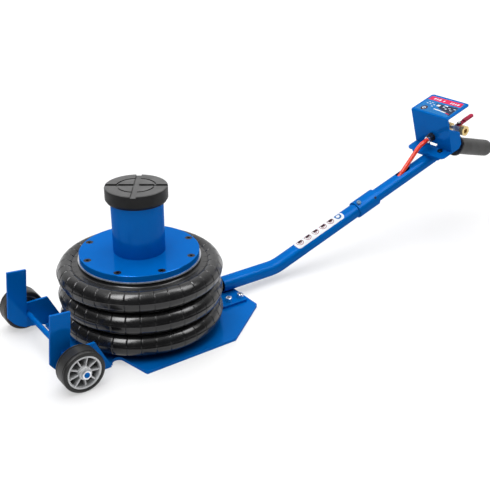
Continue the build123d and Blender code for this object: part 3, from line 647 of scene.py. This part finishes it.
class Print:
    """Ink shapes laid on a film, each a thin closed plate in its own colour. Sizes are in millimetres."""

    def __init__(self, place):
        self.place = place
        self.bm = bmesh.new()
        self.inks = []

    def plate(self, grid, ink, layer):
        """A plate through a grid of points. layer lifts it over the shapes below it."""
        if ink not in self.inks:
            self.inks.append(ink)
        low = INK_DEPTH * (layer - 1)
        levels = []
        for height in (low, low + INK_DEPTH):
            levels.append([[self.bm.verts.new(self.place(a, b, height)) for a, b in row] for row in grid])
        under, over = levels
        faces = []
        last_row, last_column = len(grid) - 1, len(grid[0]) - 1
        for level in levels:
            for i in range(last_row):
                for j in range(last_column):
                    corners = (level[i][j], level[i][j + 1], level[i + 1][j + 1], level[i + 1][j])
                    faces.append(self.bm.faces.new(corners))
        rim = [(i, 0) for i in range(last_row)] + [(last_row, j) for j in range(last_column)]
        rim += [(i, last_column) for i in range(last_row, 0, -1)]
        rim += [(0, j) for j in range(last_column, 0, -1)]
        for (i, j), (m, n) in zip(rim, rim[1:] + rim[:1]):
            faces.append(self.bm.faces.new((under[i][j], under[m][n], over[m][n], over[i][j])))
        for face in faces:
            face.material_index = self.inks.index(ink)

    def quad(self, corners, ink, layer=1):
        """A four-cornered shape."""
        first, second, third, fourth = corners
        self.plate([[first, second], [fourth, third]], ink, layer)

    def patch(self, start, end, low, high, ink):
        """A rectangle in small steps, so that it follows a curved film."""
        ups = [start + (end - start) * i / PATCH_STEPS for i in range(PATCH_STEPS + 1)]
        rounds = [low + (high - low) * j / PATCH_STEPS for j in range(PATCH_STEPS + 1)]
        self.plate([[(u, around) for around in rounds] for u in ups], ink, 1)

    def ring(self, centre, inner, outer, ink, layer=1):
        """A disc or a ring, between two radii."""
        u, y = centre
        bands = max(1, int((outer - inner) / RING_BAND_MM))
        turns = [math.radians(360 * j / RING_STEPS) for j in range(RING_STEPS + 1)]
        grid = []
        for i in range(bands + 1):
            radius = inner + (outer - inner) * i / bands
            grid.append([(u + radius * math.cos(t), y + radius * math.sin(t)) for t in turns])
        self.plate(grid, ink, layer)

    def finish(self, name):
        """Makes the piece, which stays with the handle."""
        piece = make_object(name, self.bm, INK[self.inks[0]])
        for ink in self.inks[1:]:
            piece.data.materials.append(INK[ink])
        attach(piece, "base")
        return piece


def make_panel_print():
    """Plain shapes: a red band with slanted dashes, a dark field with a block and bars, and a few marks."""
    p = Print(on_panel)
    # the red band along the upper edge, and its dashes
    p.quad([(551, 49), (565.5, 49), (568, -43), (552, -46.5)], "red")
    for y, width in ((36, 4), (29, 3), (22, 5), (8, 2.2), (-12, 3), (-18, 4), (-25, 3), (-32, 4)):
        p.quad([(555.5, y), (561.5, y - 1.5), (561.5, y - 1.5 - width), (555.5, y - width)], "pale", 2)
    # the dark field in two parts, with a white block and pale bars and marks on it
    p.quad([(529.8, -1.3), (543, 17.6), (547.5, -45), (519.7, -25)], "dark")
    p.quad([(519.7, -25), (547.5, -45), (530, -46.4), (511.6, -47.7)], "dark")
    p.quad([(534, 9.4), (540.6, 9.4), (540.6, 1), (534, 0)], "white", 2)
    p.quad([(541.5, -6), (545, -9), (545, -17), (541.5, -19)], "pale", 2)
    for u, y in ((536, -8), (531, -17), (536, -24), (530, -32), (538, -38)):
        p.quad([(u, y), (u + 2.2, y - 0.5), (u + 2.2, y - 6.5), (u, y - 6)], "pale", 2)
    # a white and a red bar along the lower edge
    p.quad([(520.4, 6), (523.4, 5), (520.4, -32), (518.0, -31)], "white", 2)
    p.quad([(517.4, -32), (519.4, -32.5), (517.4, -43), (515.4, -42)], "red", 2)
    # a round mark in the lower corner
    round_mark = (516.6, 30.4)
    p.ring(round_mark, 0, 8.5, "maroon")
    p.ring(round_mark, 2.2, 4.4, "pale", 2)
    # small pale marks on the bare film
    for u, y in ((535, 40), (535, 31), (541, 38), (541, 29), (528, 21), (535, 20)):
        p.quad([(u, y), (u + 1.8, y), (u + 1.8, y - 5), (u, y - 5)], "pale")
    p.finish("panel_print")


def make_handle_label():
    """White film with rounded corners, five plain round symbols filled by dark blocks, and a blue ring."""
    start, end = 62, 200
    edges = [math.radians(angle) * TUBE_FILM_RADIUS / MM for angle in (-27, 49)]
    middle, half = sum(edges) / 2, (edges[1] - edges[0]) / 2
    corner = 8
    corner_steps = 8
    columns = 16
    ends = [corner * (1 - math.cos(math.pi / 2 * k / corner_steps)) for k in range(corner_steps + 1)]
    places = [start + d for d in ends] + [end - d for d in reversed(ends)]
    grid = []
    for u in places:
        inset = max(0, corner - min(u - start, end - u))
        reach = half - corner + math.sqrt(corner ** 2 - inset ** 2)
        grid.append([(u, middle + reach * (2 * k / columns - 1)) for k in range(columns + 1)])
    p = Print(on_tube_film)
    p.plate(grid, "white", 0)
    centre_line = 0.4
    first_symbol = 76.5
    symbol_pitch = 22.4
    for k in range(5):
        u = first_symbol + symbol_pitch * k
        p.ring((u, centre_line), 7.0, 8.4, "pink")
        p.patch(u - 3.4, u + 8.0, -6.9, -3.0, "maroon")
        p.patch(u - 4.4, u + 6.6, -3.0, 2.4, "maroon")
        p.patch(u - 3.6, u + 2.6, 3.4, 5.0, "pink")
    p.ring((187.5, centre_line + 0.8), 4.4, 8.2, "blue")
    piece = p.finish("handle_label_print")
    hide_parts("handle_label")


# ---------------------------------------------------------------- carried-over CAD nodes
# how far the edges of each slot's pieces are rounded, in millimetres
ROUNDED = {
    "blue_paint": 0.7, "saddle_rubber": 1.0, "hub_plastic": 0.5, "zinc_steel": 0.35, "black_steel": 0.3,
    "nickel": 0.5, "brass": 0.5, "red_lever": 1.0, "black_plastic": 0.5,
}
# pieces whose finish isn't the one named after their slot
OTHER_FINISH = {
    "upper_bead_flange": "bright_ring", "sleeve_screws": "dull_zinc",
    "handle_lower_tube": "tube_paint_with_painted_shade", "handle_upper_tube": "tube_paint_with_painted_shade", "handle_sleeve": "tube_paint_with_painted_shade",
}
# nodes that a finer piece in this script replaces
REPLACED_CAD = {
    "bag_lower_convolution", "bag_middle_convolution", "bag_upper_convolution",
    "left_wheel_tyre", "right_wheel_tyre", "grip", "handle_label",
}


def finish_cad_nodes():
    """Gives each CAD node its finish, smooth shading and, where it is a made edge, a small rounding."""
    for name, piece in NODES.items():
        if name in REPLACED_CAD:
            continue
        piece.data.materials.clear()
        piece.data.materials.append(FINISH[OTHER_FINISH.get(name, SLOT_OF[name])])
        shade(piece, angle=30)
        width = ROUNDED.get(SLOT_OF[name])
        if width:
            rounding = piece.modifiers.new("rounding", "BEVEL")
            rounding.width = width * MM
            rounding.segments = 2
            rounding.limit_method = "ANGLE"
            rounding.angle_limit = math.radians(40)
            rounding.harden_normals = True


# ---------------------------------------------------------------- camera, floor and light
VIEW_YAW = math.radians(36.15)
VIEW_PITCH = math.radians(25.35)
VIEW_ROLL = math.radians(0.38)
VIEW_PLACE = (-0.6442, -1.2133, 0.8121)
SOFTBOX_DISTANCE = 2.5
SOFTBOX_TARGET = Vector((0.1, 0, 0.1))


def make_camera():
    """Seen from above, from the near side and the wheel end, looking slantwise along the handle."""
    level = Vector((math.cos(VIEW_YAW), -math.sin(VIEW_YAW), 0))
    ahead = Vector((math.sin(VIEW_YAW), math.cos(VIEW_YAW), 0))
    forward = ahead * math.cos(VIEW_PITCH) - Vector((0, 0, math.sin(VIEW_PITCH)))
    up = level.cross(forward)
    across = level * math.cos(VIEW_ROLL) + up * math.sin(VIEW_ROLL)
    upright = up * math.cos(VIEW_ROLL) - level * math.sin(VIEW_ROLL)
    camera = bpy.data.objects.new("camera", bpy.data.cameras.new("camera"))
    bpy.context.scene.collection.objects.link(camera)
    turn = Matrix((across, upright, -forward)).transposed().to_4x4()
    camera.matrix_world = Matrix.Translation(VIEW_PLACE) @ turn
    camera.data.sensor_width = 36.0
    camera.data.lens = 59.8
    camera.data.clip_start = 0.05
    camera.data.clip_end = 60
    bpy.context.scene.camera = camera


def make_stage():
    """A plain pale floor that runs out of sight, and glows more where the lights don't reach it."""
    bm = bmesh.new()
    bmesh.ops.create_grid(bm, x_segments=1, y_segments=1, size=20)
    s = Shader("pale_floor", Specular_IOR_Level=0.2)
    distance = s.node("VectorMath", operation="LENGTH")
    s.link(s.place, distance.inputs[0])
    near, far = 0.7, 3.5
    near_glow, far_glow = 0.48, 0.92
    glow = s.spread(distance.outputs["Value"], near_glow, far_glow, near, far)
    s.link(glow, s.surface.inputs["Emission Strength"])
    s.surface.inputs["Emission Color"].default_value = (1, 1, 1, 1)
    s.colour(s.mix(s.spread(s.noise(3), 0, 1), (0.34, 0.34, 0.35), (0.37, 0.37, 0.37)))
    s.rough(s.spread(s.noise(8), 0.55, 0.65))
    floor = make_object("floor", bm, s.material)


def make_light(name, place, target, size, power, lights=True, shines=True):
    """A soft rectangular studio light. Without lights it is a reflector card that only shows in gloss, and
    without shines it doesn't show in gloss."""
    data = bpy.data.lights.new(name, "AREA")
    data.shape = "RECTANGLE"
    data.size, data.size_y = size
    data.energy = power
    lamp = bpy.data.objects.new(name, data)
    bpy.context.scene.collection.objects.link(lamp)
    lamp.location = place
    lamp.rotation_euler = (Vector(target) - Vector(place)).to_track_quat("-Z", "Y").to_euler()
    lamp.visible_camera = False
    lamp.visible_diffuse = lights
    lamp.visible_glossy = shines


def make_softbox(name, azimuth, elevation, size, radiance, lights=True):
    """A studio panel at a fixed distance, facing the bag, placed by two angles in degrees. Its power
    follows from its size and radiance."""
    turn, lift = math.radians(azimuth), math.radians(elevation)
    away = Vector((math.cos(turn) * math.cos(lift), math.sin(turn) * math.cos(lift), math.sin(lift)))
    place = SOFTBOX_TARGET + away * SOFTBOX_DISTANCE
    power = radiance * math.pi * size[0] * size[1]
    make_light(name, place, SOFTBOX_TARGET, size, power, lights)


def make_surround():
    """A studio that is bright overhead and behind the jack, dim elsewhere, and white to the camera."""
    world = bpy.data.worlds.new("studio")
    world.use_nodes = True
    tree = world.node_tree
    make = tree.nodes.new
    background = tree.nodes["Background"]

    def ramp(value, start, end, low, high):
        """A value mapped smoothly from one range to another."""
        made = make("ShaderNodeMapRange")
        made.interpolation_type = "SMOOTHSTEP"
        for name, number in (("From Min", start), ("From Max", end), ("To Min", low), ("To Max", high)):
            made.inputs[name].default_value = number
        tree.links.new(value, made.inputs["Value"])
        return made.outputs["Result"]

    def larger(first, second):
        """The larger of two values."""
        made = make("ShaderNodeMath")
        made.operation = "MAXIMUM"
        tree.links.new(first, made.inputs[0])
        tree.links.new(second, made.inputs[1])
        return made.outputs["Value"]

    direction = make("ShaderNodeTexCoord").outputs["Generated"]
    split = make("ShaderNodeSeparateXYZ")
    tree.links.new(direction, split.inputs[0])
    towards_back = make("ShaderNodeVectorMath")
    towards_back.operation = "DOT_PRODUCT"
    towards_back.inputs[1].default_value = (math.sin(VIEW_YAW), math.cos(VIEW_YAW), 0)
    tree.links.new(direction, towards_back.inputs[0])
    overhead = ramp(split.outputs["Z"], 0.50, 0.92, 0.06, 1.0)
    behind = ramp(towards_back.outputs["Value"], 0.1, 0.7, 0.06, 0.9)
    seen = make("ShaderNodeLightPath").outputs["Is Camera Ray"]
    tree.links.new(larger(larger(overhead, behind), seen), background.inputs["Strength"])
    background.inputs["Color"].default_value = (1, 1, 1, 1)
    bpy.context.scene.world = world


def make_lights():
    """A wide overhead panel, and high on each side of the camera a small one with a taller card."""
    make_light("overhead", (0.0, 0.3, 2.6), (0.2, 0, 0), (3.0, 2.4), 88, shines=False)
    panel_size, card_size = (0.85, 0.85), (0.95, 2.1)
    panel_elevation, card_elevation = 48, 53
    for side, azimuth, panel, card in (("left", -154, 3.5, 8.8), ("right", -46, 3.0, 4.6)):
        make_softbox(f"{side}_panel", azimuth, panel_elevation, panel_size, panel)
        make_softbox(f"{side}_card", azimuth, card_elevation, card_size, card, lights=False)
    make_surround()
    bpy.context.scene.view_settings.view_transform = "Standard"


make_camera()
make_stage()
make_lights()
finish_cad_nodes()
make_bag()
make_tyres()
make_grip()
make_panel_print()
make_handle_label()
